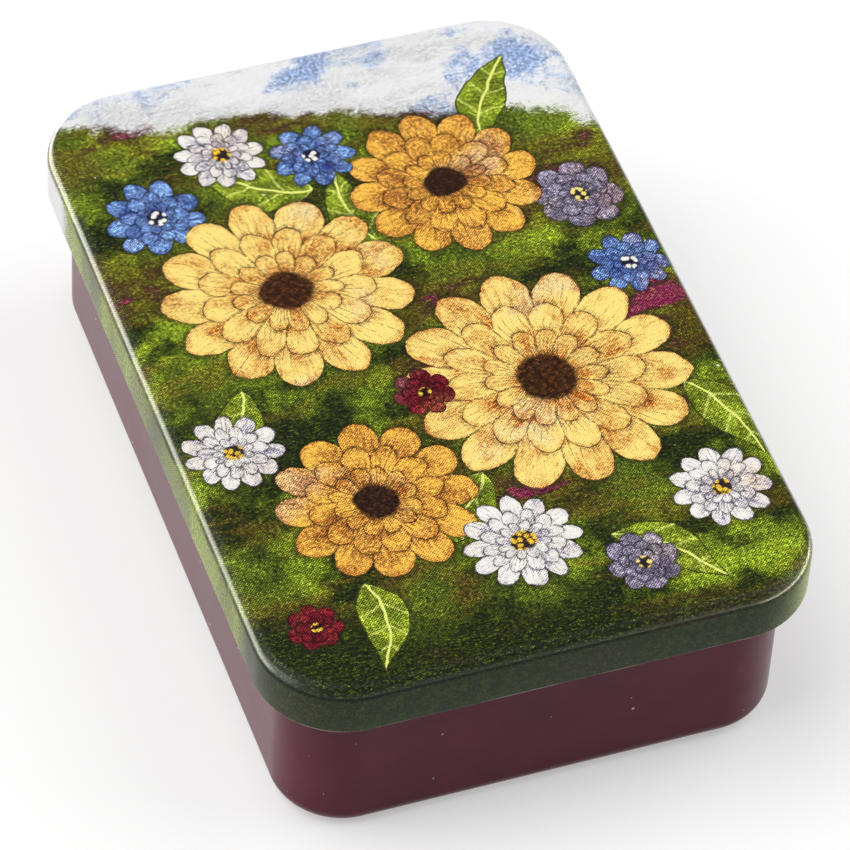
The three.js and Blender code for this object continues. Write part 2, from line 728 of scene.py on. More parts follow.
@dataclass
class Base:
    """The plum base: a raised panel, a foot ring, a straight wall and a rim rolled outwards."""

    tin: Tin
    foot_edge_radius: float = 2.0 * MM
    foot_width: float = 1.6 * MM
    panel_lift: float = 0.5 * MM
    panel_step_width: float = 0.9 * MM
    rim_end_degrees: float = -110.0
    edge_steps: int = 14
    rim_steps: int = 28
    step_steps: int = 8

    def panel_step(self, height: float, face: Face) -> list[SectionPoint]:
        """One face of the soft step from the foot ring up to the raised panel.

        Args:
            height: the height of that face on the foot ring.
            face: the face of the sheet that it lies on.

        Returns:
            The points from the foot ring inwards.
        """
        start = -self.foot_edge_radius - self.foot_width
        points = []
        for step in range(self.step_steps + 1):
            share = step / self.step_steps
            lift_share = (1 - math.cos(math.pi * share)) / 2
            points.append(SectionPoint(start - self.panel_step_width * share,
                                       height + self.panel_lift * lift_share, face))
        points.append(SectionPoint(start - self.panel_step_width - self.tin.support,
                                   height + self.panel_lift, face))
        return points

    def section(self, lid_top: float) -> list[SectionPoint]:
        """The base's section, with its rim just under the lid's panel.

        Args:
            lid_top: the height of the lid's top.

        Returns:
            The section's points.
        """
        tin = self.tin
        foot = (-self.foot_edge_radius, self.foot_edge_radius)
        rim_radius = tin.rim_diameter / 2
        rim = (rim_radius - tin.sheet, lid_top - tin.sheet - tin.seat_clearance - rim_radius)
        return [
            *reversed(self.panel_step(tin.sheet, Face.INSIDE)),
            *arc(foot, self.foot_edge_radius - tin.sheet, -90, 0, self.edge_steps, Face.INSIDE),
            *arc(rim, rim_radius, 180, self.rim_end_degrees, self.rim_steps, Face.INSIDE),
            *arc(rim, rim_radius - tin.sheet, self.rim_end_degrees, 180, self.rim_steps,
                 Face.OUTSIDE),
            *arc(foot, self.foot_edge_radius, 0, -90, self.edge_steps, Face.OUTSIDE),
            *self.panel_step(0.0, Face.OUTSIDE),
        ]

    def build(self, press: PressTree, outside: Material, inside: Material) -> bpy.types.Object:
        """Presses the base inside the lid's outline.

        Args:
            press: the tree that presses it.
            outside: the finish of its outer face.
            inside: the finish of its inner face.

        Returns:
            The finished piece.
        """
        low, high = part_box("lid")
        inset = self.tin.wall_inset
        outline = Outline(high.x - low.x - 2 * inset, high.y - low.y - 2 * inset,
                          self.tin.lid_corner_radius - inset + self.tin.corner_clearance)
        piece = press.press("base_pressing", outline, self.section(high.z), outside, inside)
        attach(piece, "base")
        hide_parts("base")
        return piece


class Effect(Group):
    """A shader node group that makes one look, built once and used with own values."""


def dust_effect() -> Effect:
    """Sparse pale specks of lint, as a mask.

    Returns:
        The effect.
    """
    n = Effect("dust", {Kind.VECTOR: ("Vector",), Kind.NUMBER: ("Spacing", "Size", "Share")},
               {Kind.NUMBER: ("Mask",)})
    scale = n.over(1.0, n["Spacing"])
    cells = n.cells(n["Vector"], scale).outputs
    chance = n.put("ShaderNodeSeparateColor", {0: cells["Color"]}).outputs
    kept = n.math("LESS_THAN", chance[0], n["Share"])
    size = n.times(n["Size"], scale, n.plus(chance[1], 0.3))
    near = n.step(cells["Distance"], size, n.times(size, 0.5))
    n.give("Mask", n.times(near, kept))
    return n


def grain_effect() -> Effect:
    """The fine waviness of a stoved coating: a broad swell under a close orange peel.

    Returns:
        The effect.
    """
    n = Effect("grain", {Kind.VECTOR: ("Vector",), Kind.NUMBER: ("Peel Size", "Swell Size")},
               {Kind.NUMBER: ("Peel", "Swell")})
    for label in ("Peel", "Swell"):
        n.give(label, n.noise(n["Vector"], n[label + " Size"], detail=3.0))
    return n


def screen_effect() -> Effect:
    """One printing ink's dots: round where the ink is light, joined where it is heavy.

    Returns:
        The effect.
    """
    n = Effect("screen", {Kind.VECTOR: ("Vector",), Kind.NUMBER: ("Pitch", "Angle", "Amount")},
               {Kind.NUMBER: ("Coverage",)})
    softness = 0.14
    cosine, sine = n.math("COSINE", n["Angle"]), n.math("SINE", n["Angle"])
    waves = n.scaled(n["Vector"], n.over(math.tau, n["Pitch"]))
    across = n.dot(waves, n.joined(cosine, sine, 0.0))
    along = n.dot(waves, n.joined(n.times(sine, -1.0), cosine, 0.0))
    both = n.plus(n.math("COSINE", across), n.math("COSINE", along))
    hill = n.line(both, 0.25, 0.5)
    level = n.line(n["Amount"], -1 - 2 * softness, 1 + softness)
    n.give("Coverage", n.step(hill, n.minus(level, softness), n.plus(level, softness)))
    return n


def halftone_effect(screen: Effect) -> Effect:
    """A colour broken into dots: black ones over every hue, with fainter cyan and magenta.

    Args:
        screen: the effect that makes one ink's dots.

    Returns:
        The effect.
    """
    n = Effect("halftone", {Kind.VECTOR: ("Vector",), Kind.COLOUR: ("Color",),
                            Kind.NUMBER: ("Pitch", "Strength", "Felt")},
               {Kind.COLOUR: ("Color",), Kind.NUMBER: ("Ink",)})
    eye, faint, darkest = 0.45, 0.3, 0.06
    black_degrees, cyan_degrees, magenta_degrees = 45, 15, 75
    tooth_size, felt_size = 0.24 * MM, 0.3 * MM
    split = n.put("ShaderNodeSeparateColor", {0: n["Color"]}).outputs
    uneven = n.line(n.noise(n["Vector"], tooth_size, detail=2.0), 0.6, -0.3)

    def gain(level: Socket, degrees: float, contrast: float) -> tuple[Socket, Socket]:
        """One ink's dots at a level.

        Args:
            level: how light the ink is to look.
            degrees: the turn of its screen.
            contrast: how strongly it shows.

        Returns:
            What the dots do to the level, 1 on the whole, and the dots themselves.
        """
        amount = n.math("SUBTRACT", 1.0, n.math("POWER", level, eye), clamp=True)
        dots = n.use(screen, {"Vector": n["Vector"], "Pitch": n["Pitch"],
                              "Angle": math.radians(degrees),
                              "Amount": n.plus(amount, uneven)})["Coverage"]
        swing = n.times(n["Strength"], n.times(n.step(amount, 0.02, 0.24), contrast))
        above = n.times(n.minus(amount, dots), swing)
        return n.math("MAXIMUM", n.plus(above, 1.0), darkest), dots

    light = n.line(split[1], 0.6, n.times(split[0], 0.4))
    black, ink = gain(light, black_degrees, 1.0)
    felt = n.minus(n.noise(n["Vector"], felt_size, detail=3.0, roughness=0.7), 0.52)
    depth = n.times(n.step(light, 0.72, 0.26), n["Felt"])
    black = n.times(black, n.math("EXPONENT", n.times(depth, felt)))
    printed = [n.times(split[0], gain(split[0], cyan_degrees, faint)[0]),
               n.times(split[1], gain(split[1], magenta_degrees, faint)[0]), split[2]]
    printed = [n.times(level, black) for level in printed]
    n.give("Color", n.put("ShaderNodeCombineColor", dict(enumerate(printed))).outputs[0])
    n.give("Ink", n.math("MULTIPLY", ink, n["Strength"], clamp=True))
    return n


def petal_edge(n: Nodes, angle: Socket, radius: Socket, petals: Socket,
               depth: Socket) -> tuple[Socket, Socket]:
    """How far a ring of petals reaches at an angle.

    Args:
        n: the tree that the sums go into.
        angle: the angle round the flower.
        radius: the reach of the petal tips.
        petals: how many petals the ring has.
        depth: the depth of the notches as a share of the radius.

    Returns:
        The reach, and a wave that is 1 along a petal's middle and 0 in the notches.
    """
    roundness = 0.55
    wave = n.math("ABSOLUTE", n.math("COSINE", n.times(angle, petals, 0.5)))
    notch = n.times(n.minus(1.0, n.math("POWER", wave, roundness)), depth)
    return n.times(radius, n.minus(1.0, notch)), wave


def pick_flower_effect() -> Effect:
    """Lays one flower over those before it: keeps its place at a point, or theirs.

    Returns:
        The effect.
    """
    n = Effect("pick_flower",
               {Kind.VECTOR: ("Point", "Centre", "Spot", "Form"),
                Kind.NUMBER: ("Radius", "Petals", "Turn", "Depth", "Bloom", "Shade")},
               {Kind.VECTOR: ("Spot", "Form"), Kind.NUMBER: ("Shade",)})
    shade_share, shade_width = -0.05, -0.4 * MM
    radius = n["Radius"]
    local = n.vector("SUBTRACT", n["Point"], n["Centre"])
    reach = n.vector("LENGTH", local, result="Value")
    angle = n.plus(n.math("ARCTAN2", n.dot(local, ALONG), n.dot(local, ACROSS)), n["Turn"])
    edge, _ = petal_edge(n, angle, radius, n["Petals"], n["Depth"])
    within = n.minus(edge, reach)
    top = n.math("GREATER_THAN", within, 0.0)
    n.give("Spot", n.choose(top, n["Spot"], n.joined(reach, angle, radius)))
    n.give("Form", n.choose(top, n["Form"], n.joined(n["Petals"], n["Depth"], n["Bloom"])))
    cast = n.step(within, n.line(radius, shade_share, shade_width), 0.0)
    bare = n.minus(1.0, top)
    n.give("Shade", n.times(n.math("MAXIMUM", cast, n["Shade"]), bare))
    return n


def petal_ring_effect() -> Effect:
    """One ring of painted petals over what lies under it, with pen lines and pooled colour.

    Returns:
        The effect.
    """
    n = Effect("petal_ring",
               {Kind.NUMBER: ("Reach", "Angle", "Radius", "Petals", "Depth", "Line", "Stain"),
                Kind.COLOUR: ("Under", "Throat", "Tip", "Ink")}, {Kind.COLOUR: ("Color",)})
    hatch_size, hatch_stretch = 0.3 * MM, 0.12
    reach, angle, radius = n["Reach"], n["Angle"], n["Radius"]
    petals, line = n["Petals"], n["Line"]
    edge, wave = petal_edge(n, angle, radius, petals, n["Depth"])
    within = n.minus(edge, reach)
    share = n.over(reach, edge)
    hatched = n.joined(n.times(angle, radius), n.times(reach, hatch_stretch), petals)
    hatch = n.minus(n.noise(hatched, hatch_size, detail=2.0), 0.5)
    turn = n.math("ROUND", n.times(angle, n.over(petals, math.tau)))
    own = n.put("ShaderNodeTexWhiteNoise", {"Vector": n.joined(turn, petals, radius)})
    run = n.line(own.outputs["Value"], 0.4, n.minus(n["Stain"], 0.2))
    run = n.line(hatch, 1.3, run)
    wash = n.math("ADD", n.math("POWER", share, 1.3), run, clamp=True)
    petal = n.blend(wash, n["Throat"], n["Tip"])
    petal = n.blend(n.step(within, n.times(line, 5.0), line, 0.45), petal, n["Throat"])
    rim = n.step(within, line, n.times(line, 0.4))
    arm = n.over(n.times(reach, 2.0), petals)
    fold = n.step(n.times(wave, arm), line, n.times(line, 0.3))
    rays = n.math("ABSOLUTE", n.math("COSINE", n.times(angle, petals, 2.5)))
    stroke = n.step(n.times(rays, n.times(arm, 0.2)), n.times(line, 0.5), 0.0)
    stroke = n.times(stroke, n.step(n.minus(share, n["Stain"]), 0.85, 0.55))
    pen = n.math("MAXIMUM", rim, n.times(n.math("MAXIMUM", fold, stroke), 0.6))
    inked = n.blend(n.times(pen, 0.8), petal, n["Ink"])
    cast = n.step(within, n.times(radius, -0.08), 0.0, 0.3)
    under = n.blend(cast, n["Under"], n["Ink"])
    mask = n.step(within, n.times(line, -0.3), n.times(line, 0.3))
    n.give("Color", n.blend(mask, under, inked))
    return n


def flower_effect(ring: Effect) -> Effect:
    """Paints the flower that was picked: three rings of petals round a stippled heart.

    Args:
        ring: the effect that paints one ring.

    Returns:
        The effect.
    """
    n = Effect("flower", {Kind.VECTOR: ("Spot", "Form"),
                          Kind.NUMBER: ("Line", "Stain", "Stipple"),
                          Kind.COLOUR: ("Under", "Throat", "Tip", "Heart", "Ink")},
               {Kind.COLOUR: ("Color",)})
    ring_sizes, ring_twists = (1.0, 0.7, 0.44), (0.0, 0.37, 0.81)
    heart_edge, heart_full = 0.23, 0.18
    reach, angle, radius = n.parts(n["Spot"])
    petals, depth = n.dot(n["Form"], ACROSS), n.dot(n["Form"], ALONG)
    on_it = n.math("LESS_THAN", reach, radius)
    passed_on = {name: n[name] for name in ("Line", "Stain", "Throat", "Tip", "Ink")}
    colour = n["Under"]
    for size, twist in zip(ring_sizes, ring_twists):
        colour = n.use(ring, {"Reach": reach, "Angle": n.plus(angle, twist),
                              "Radius": n.times(radius, size), "Petals": petals,
                              "Depth": depth, "Under": colour, **passed_on})["Color"]
    heart = n.step(reach, n.times(radius, heart_edge), n.times(radius, heart_full))
    stippled = n.blend(n["Stipple"], n["Heart"], n["Ink"])
    n.give("Color", n.blend(on_it, n["Under"], n.blend(heart, colour, stippled)))
    return n


def pick_leaf_effect() -> Effect:
    """Lays one leaf over those before it: keeps its place at a point, or theirs.

    Returns:
        The effect.
    """
    n = Effect("pick_leaf", {Kind.VECTOR: ("Point", "Stalk", "Along", "Blade"),
                             Kind.NUMBER: ("Length", "Width")}, {Kind.VECTOR: ("Blade",)})
    fullness, curl = 0.75, 0.1
    local = n.vector("SUBTRACT", n["Point"], n["Stalk"])
    along = n.math("DIVIDE", n.dot(local, n["Along"]), n["Length"], clamp=True)
    swell = n.math("SINE", n.times(n.math("POWER", along, fullness), math.pi))
    straight = n.dot(local, n.vector("CROSS_PRODUCT", n["Along"], UP))
    side = n.plus(straight, n.times(n["Length"], swell, curl))
    within = n.minus(n.times(swell, n["Width"]), n.math("ABSOLUTE", side))
    top = n.math("GREATER_THAN", within, 0.0)
    n.give("Blade", n.choose(top, n["Blade"], n.joined(along, side, within)))
    return n


def leaf_effect() -> Effect:
    """Paints the leaf that was picked: a pale midrib, side veins and a pen line.

    Returns:
        The effect.
    """
    n = Effect("leaf", {Kind.VECTOR: ("Blade",), Kind.NUMBER: ("Line", "Stain"),
                        Kind.COLOUR: ("Under", "Leaf", "Vein", "Ink")},
               {Kind.COLOUR: ("Color",)})
    vein_rows, vein_slant = 26.0, 0.55 * MM
    along, side, within = n.parts(n["Blade"])
    line = n["Line"]
    away = n.math("ABSOLUTE", side)
    rib = n.step(away, line, n.times(line, 0.4))
    rows = n.line(along, vein_rows, n.times(away, -1 / vein_slant))
    vein = n.step(n.math("COSINE", rows), 0.86, 1.0, 0.4)
    shaded = n.blend(n.step(n["Stain"], 0.25, -0.2), n["Leaf"], n["Ink"])
    washed = n.blend(0.4, n["Leaf"], shaded)
    veined = n.blend(n.math("MAXIMUM", rib, vein), washed, n["Vein"])
    rim = n.step(within, n.times(line, 1.3), n.times(line, 0.5), 0.8)
    drawn = n.blend(rim, veined, n["Ink"])
    n.give("Color", n.blend(n.math("GREATER_THAN", within, 0.0), n["Under"], drawn))
    return n


@dataclass
class Effects:
    """The shared shader node groups, each built once."""

    dust: Effect = field(default_factory=dust_effect)
    grain: Effect = field(default_factory=grain_effect)
    halftone: Effect = field(default_factory=lambda: halftone_effect(screen_effect()))
    pick_flower: Effect = field(default_factory=pick_flower_effect)
    flower: Effect = field(default_factory=lambda: flower_effect(petal_ring_effect()))
    pick_leaf: Effect = field(default_factory=pick_leaf_effect)
    leaf: Effect = field(default_factory=leaf_effect)


class Surface(Nodes):
    """A new material, with the points that its patterns read."""

    def __init__(self, name: str, effects: Effects | None = None) -> None:
        """Makes the material.

        Args:
            name: its name.
            effects: the shared shader node groups that it uses.
        """
        self.material = bpy.data.materials.new(name)
        self.material.use_nodes = True
        super().__init__(self.material.node_tree)
        self.effects = effects

    def sheet(self) -> Socket:
        """The point on the unrolled sheet."""
        place = self.put("ShaderNodeAttribute", attribute_name="unrolled").outputs["Vector"]
        return self.vector("MULTIPLY", place, FLAT)

    def body(self) -> Socket:
        """The point in the tin's own frame."""
        return self.put("ShaderNodeTexCoord").outputs["Object"]

    def grain(self, point: Socket, peel: float, swell: float) -> dict[str, Socket]:
        """The waviness of the coating, from the sizes of its peel and its swell."""
        return self.use(self.effects.grain, {"Vector": point, "Peel Size": peel,
                                             "Swell Size": swell})

    def varied(self, pattern: Socket, middle: float, swing: float) -> Socket:
        """A number that a pattern moves to both sides of its middle."""
        return self.line(pattern, swing, middle - swing / 2)

    def bump(self, height: Socket, strength: float, depth: float = 0.02 * MM) -> Socket:
        """The normal of a surface with this height on it."""
        return self.put("ShaderNodeBump", {"Height": height, "Strength": strength,
                                           "Distance": depth}).outputs[0]

    def finish(self, inputs: Inputs) -> Material:
        """Sets the shader.

        Args:
            inputs: the values or sockets of the shader's inputs, by name.

        Returns:
            The finished material.
        """
        shader = self.tree.nodes["Principled BSDF"]
        for name, value in inputs.items():
            self.into(shader, name, value)
        return self.material


@dataclass(frozen=True)
class Specks:
    """Specks of dust on a finish.

    Args:
        spacing: the width of the cells that hold up to one speck each.
        size: the size of a speck.
        share: the share of the cells that hold one.
        colour: their colour.
    """

    spacing: float
    size: float
    share: float
    colour: Colour

    def on(self, n: Surface, place: Socket, under: Socket) -> Socket:
        """Lays the specks on a colour.

        Args:
            n: the material's nodes.
            place: the point on the sheet.
            under: the colour.

        Returns:
            The colour with the specks.
        """
        mask = n.use(n.effects.dust, {"Vector": place, "Spacing": self.spacing,
                                      "Size": self.size, "Share": self.share})["Mask"]
        return n.blend(mask, under, self.colour)


class Bloom(Enum):
    """The kinds of flower in the print, as throat, tip, heart and ink colours."""

    GOLDEN = (srgb(176, 104, 34), srgb(240, 210, 124), srgb(92, 56, 28), srgb(58, 34, 20))
    OCHRE = (srgb(142, 84, 36), srgb(226, 172, 74), srgb(70, 42, 26), srgb(50, 30, 20))
    DAISY = (srgb(150, 142, 160), srgb(242, 239, 234), srgb(216, 174, 52), srgb(50, 42, 46))
    CORNFLOWER = (srgb(44, 62, 136), srgb(132, 166, 222), srgb(232, 230, 226),
                  srgb(28, 28, 56))
    LILAC = (srgb(92, 84, 104), srgb(160, 154, 176), srgb(226, 206, 120), srgb(40, 34, 46))
    CRIMSON = (srgb(84, 18, 30), srgb(150, 40, 52), srgb(206, 170, 60), srgb(44, 14, 18))


@dataclass(frozen=True)
class Placed:
    """A flower placed on the print.

    Args:
        bloom: its kind.
        x: its centre across the tin, in millimetres.
        y: its centre along the tin, in millimetres.
        radius: its radius in millimetres.
        petals: how many petals each ring has.
        turn: how far it is turned, in radians.
        depth: how deep the notches between its petals are, as a share of its radius.
    """

    bloom: Bloom
    x: float
    y: float
    radius: float
    petals: int
    turn: float
    depth: float = 0.26


@dataclass(frozen=True)
class Sprig:
    """A leaf placed on the print.

    Args:
        x: its stalk end across the tin, in millimetres.
        y: its stalk end along the tin, in millimetres.
        length: its length in millimetres.
        width: its half width in millimetres.
        degrees: the way that it points, from +X towards +Y.
    """

    x: float
    y: float
    length: float
    width: float
    degrees: float


MIST = srgb(226, 225, 227)


@dataclass(frozen=True)
class Ground:
    """The felted ground: dark and lime wool, magenta strands, and mist at the far end."""

    dark: Colour = srgb(32, 41, 21)
    mid: Colour = srgb(90, 103, 33)
    lime: Colour = srgb(142, 162, 40)
    ochre: Colour = srgb(124, 98, 36)
    deep: Colour = srgb(22, 32, 25)
    earth: Colour = srgb(84, 56, 36)
    magenta: Colour = srgb(146, 36, 88)
    mist_shade: Colour = srgb(164, 165, 174)
    mist_blue: Colour = srgb(142, 164, 208)
    patch_size: float = 13 * MM
    cloud_size: float = 9 * MM
    cloud_shift: tuple[float, ...] = (0.31, 0.12, 0.0)
    streak_size: float = 16 * MM
    streak_stretch: tuple[float, ...] = (1.0, 3.2, 0.0)
    streak_wander: float = 7 * MM
    fibre_size: float = 0.45 * MM
    front_slant: tuple[float, ...] = (0.2, 1.0, 0.0)
    front_edge: Span = (-30 * MM, -37 * MM)
    mist_slant: tuple[float, ...] = (0.25, 1.0, 0.0)
    mist_edge: Span = (36.4 * MM, 38.2 * MM)
    mist_swing: float = 14 * MM
    mist_fray: float = 3 * MM

    def paint(self, n: Nodes, place: Socket, cloudy: Socket) -> Socket:
        """Paints the ground.

        Args:
            n: the material's nodes.
            place: the point on the print.
            cloudy: a broad cloudy vector over the print.

        Returns:
            The ground's colour.
        """
        patches = n.noise(place, self.patch_size, detail=7.0, roughness=0.64)
        wool = n.blend(n.step(patches, 0.4, 0.62), self.mid, self.lime)
        clouds = n.noise(n.vector("ADD", place, self.cloud_shift), self.cloud_size, detail=7.0,
                         roughness=0.66)
        front = n.step(n.dot(place, self.front_slant), *self.front_edge)
        shadows = n.line(front, 0.17, clouds)
        wool = n.layers(wool, (n.step(shadows, 0.45, 0.57), self.dark),
                        (n.step(shadows, 0.56, 0.68), self.deep))
        combed = n.vector("ADD", n.vector("MULTIPLY", place, self.streak_stretch),
                          n.scaled(cloudy, self.streak_wander))
        streak = n.noise(combed, self.streak_size, detail=7.0, roughness=0.62)
        rust = n.times(n.step(streak, 0.47, 0.57), n.line(front, -0.5, 0.5))
        wool = n.layers(wool, (rust, self.ochre), (n.step(streak, 0.57, 0.63), self.earth),
                        (n.step(streak, 0.635, 0.66, 0.9), self.magenta),
                        (n.times(front, 0.85), self.dark))
        fibres = n.noise(combed, self.fibre_size, detail=3.0)
        wool = n.layers(wool, (n.step(fibres, 0.46, 0.74, 0.36), self.lime),
                        (n.step(fibres, 0.5, 0.28, 0.6), self.dark))
        ragged = n.line(patches, self.mist_swing, n.dot(place, self.mist_slant))
        torn = n.line(fibres, self.mist_fray, ragged)
        mist = n.layers(MIST, (n.step(shadows, 0.5, 0.62), self.mist_blue),
                        (n.step(streak, 0.42, 0.6, 0.5), self.mist_shade),
                        (n.step(fibres, 0.4, 0.7, 0.28), self.mist_shade))
        return n.blend(n.step(torn, *self.mist_edge), wool, mist)


@dataclass(frozen=True)
class SkirtPrint:
    """The plainer print down the skirt: dark wool in front and lime along the left side."""

    dark: Colour = srgb(38, 55, 24)
    shade: Colour = srgb(94, 98, 46)
    lime: Colour = srgb(144, 158, 46)
    brown: Colour = srgb(60, 58, 36)
    squash: tuple[float, ...] = (1.0, 1.0, 0.25)
    tone_size: float = 12 * MM
    patch_size: float = 9 * MM
    patch_shift: tuple[float, ...] = (0.05, 0.4, 0.0)
    tuft_size: float = 1.1 * MM
    near_slant: tuple[float, ...] = (-0.4, 1.0, 0.0)
    near_edge: Span = (6 * MM, -8 * MM)
    front_slant: tuple[float, ...] = (0.2, 1.0, 0.0)
    front_edge: Span = (-31 * MM, -27 * MM)
    front_swing: float = 6 * MM
    mist_edge: Span = (25.5 * MM, 28.5 * MM)
    mist_swing: float = 4 * MM

    def paint(self, n: Nodes, body: Socket) -> Socket:
        """Paints the skirt.

        Args:
            n: the material's nodes.
            body: the point in the tin's own frame.

        Returns:
            The skirt's colour.
        """
        upright = n.vector("MULTIPLY", body, self.squash)
        tone = n.noise(upright, self.tone_size, detail=3.0)
        other = n.noise(n.vector("ADD", upright, self.patch_shift), self.patch_size, detail=2.0)
        front = n.line(tone, self.front_swing, n.dot(body, self.front_slant))
        near = n.step(n.dot(body, self.near_slant), *self.near_edge)
        bright = n.line(near, 0.16, tone)
        lime = n.blend(n.step(bright, 0.42, 0.62), self.shade, self.lime)
        tufts = n.noise(body, self.tuft_size, detail=4.0, roughness=0.6)
        dark = n.blend(n.step(tufts, 0.42, 0.68, 0.3), self.dark, self.shade)
        wool = n.blend(n.step(front, *self.front_edge), dark, lime)
        far = n.line(other, self.mist_swing, n.dot(body, ALONG))
        return n.layers(wool, (n.step(other, 0.5, 0.62, 0.45), self.brown),
                        (n.step(far, *self.mist_edge), MIST))


@dataclass(frozen=True)
class Brush:
    """How the pen and the paint lie at a point.

    Args:
        drawn: the point on the print, with the hand's waver.
        line: the pen line's width.
        stain: how the paint has run.
        wash: where the broad brown and grey washes lie.
        stipple: the dots in the flowers' hearts.
    """

    drawn: Socket
    line: Socket
    stain: Socket
    wash: Socket
    stipple: Socket


@dataclass(frozen=True)
class Garden:
    """The flowers and leaves over the ground, drawn in ink and washed with thin paint."""

    ground: Ground = Ground()
    pen: float = 0.17 * MM
    waver: float = 1.5 * MM
    waver_size: float = 5 * MM
    blot_size: float = 2.6 * MM
    wash_size: float = 8 * MM
    wash_shift: tuple[float, ...] = (0.07, 0.21, 0.0)
    stipple_size: float = 0.6 * MM
    press_size: float = 1.1 * MM
    tan: Colour = srgb(170, 116, 64)
    greyed: Colour = srgb(186, 168, 152)
    leaf: Colour = srgb(140, 156, 44)
    vein: Colour = srgb(212, 218, 120)
    leaf_ink: Colour = srgb(26, 34, 16)
    sprigs: tuple[Sprig, ...] = (
        Sprig(0.0, -17.0, 12.0, 2.6, 215.0), Sprig(20.0, -12.0, 11.0, 2.4, 292.0),
        Sprig(-3.0, 20.0, 12.0, 2.8, 150.0), Sprig(14.0, 22.0, 11.0, 2.3, 62.0),
        Sprig(-17.0, -2.0, 10.0, 2.3, 232.0), Sprig(1.0, 11.0, 11.0, 2.5, 100.0),
        Sprig(-14.0, -26.0, 10.0, 2.2, 262.0), Sprig(8.0, -27.0, 11.0, 2.3, 318.0),
    )
    flowers: tuple[Placed, ...] = (
        Placed(Bloom.LILAC, 19.5, 12.5, 4.2, 8, 0.2),
        Placed(Bloom.CORNFLOWER, -18.0, 20.5, 4.6, 9, 0.3, 0.4),
        Placed(Bloom.CORNFLOWER, 21.0, 3.0, 3.8, 9, 0.9, 0.4),
        Placed(Bloom.DAISY, -20.0, -8.5, 4.4, 11, 0.2, 0.35),
        Placed(Bloom.OCHRE, 8.5, 17.5, 9.0, 12, 0.5),
        Placed(Bloom.GOLDEN, -9.5, 8.5, 11.5, 13, 0.8),
        Placed(Bloom.GOLDEN, 9.0, -8.0, 13.0, 14, 0.2),
        Placed(Bloom.OCHRE, -10.0, -17.5, 9.0, 12, 0.1),
        Placed(Bloom.CORNFLOWER, -2.0, 24.0, 4.0, 9, 0.1, 0.4),
        Placed(Bloom.DAISY, -10.0, 26.5, 4.2, 11, 1.1, 0.35),
        Placed(Bloom.CRIMSON, -2.0, -6.5, 2.8, 7, 0.4, 0.3),
        Placed(Bloom.DAISY, 0.5, -25.5, 5.4, 12, 0.6, 0.35),
        Placed(Bloom.DAISY, 19.0, -24.5, 4.6, 11, 0.2, 0.35),
        Placed(Bloom.LILAC, 9.5, -30.5, 3.4, 8, 0.7),
        Placed(Bloom.CRIMSON, -19.5, -29.5, 2.6, 7, 0.2, 0.3),
    )

    def leaves(self, n: Surface, brush: Brush, under: Socket) -> Socket:
        """Lays the leaves over the ground.

        Args:
            n: the material's nodes.
            brush: how the pen and the paint lie.
            under: the colour that the leaves lie on.

        Returns:
            The colour with the leaves.
        """
        blade = (0.0, 0.0, -1.0)
        for sprig in self.sprigs:
            angle = math.radians(sprig.degrees)
            blade = n.use(n.effects.pick_leaf,
                          {"Point": brush.drawn, "Stalk": (sprig.x * MM, sprig.y * MM, 0.0),
                           "Along": (math.cos(angle), math.sin(angle), 0.0),
                           "Length": sprig.length * MM, "Width": sprig.width * MM,
                           "Blade": blade})["Blade"]
        return n.use(n.effects.leaf, {"Blade": blade, "Line": self.pen, "Stain": brush.stain,
                                      "Under": under, "Leaf": self.leaf, "Vein": self.vein,
                                      "Ink": self.leaf_ink})["Color"]

    def bouquet(self, n: Surface, brush: Brush, under: Socket) -> Socket:
        """Lays the flowers over the leaves, with the shade that they cast.

        Args:
            n: the material's nodes.
            brush: how the pen and the paint lie.
            under: the colour that the flowers lie on.

        Returns:
            The colour with the flowers.
        """
        kinds = list(Bloom)
        picked = {"Spot": (1.0, 0.0, 1 * MM), "Form": (5.0, 0.2, 0.0), "Shade": 0.0}
        for flower in self.flowers:
            picked = n.use(n.effects.pick_flower,
                           {"Point": brush.drawn,
                            "Centre": (flower.x * MM, flower.y * MM, 0.0),
                            "Radius": flower.radius * MM, "Petals": float(flower.petals),
                            "Turn": flower.turn, "Depth": flower.depth,
                            "Bloom": (kinds.index(flower.bloom) + 0.5) / len(kinds), **picked})
        bloom = n.dot(picked["Form"], UP)
        throat, tip, heart, ink = (n.steps(bloom, colours)
                                   for colours in zip(*(kind.value for kind in kinds)))
        shaded = n.blend(n.times(picked["Shade"], 0.5), under, self.leaf_ink)
        tip = n.layers(tip, (n.step(brush.wash, 0.5, 0.7, 0.5), self.tan),
                       (n.step(brush.wash, 0.46, 0.3, 0.5), self.greyed))
        return n.use(n.effects.flower,
                     {"Spot": picked["Spot"], "Form": picked["Form"], "Line": brush.line,
                      "Stain": brush.stain, "Stipple": brush.stipple, "Under": shaded,
                      "Throat": throat, "Tip": tip, "Heart": heart, "Ink": ink})["Color"]

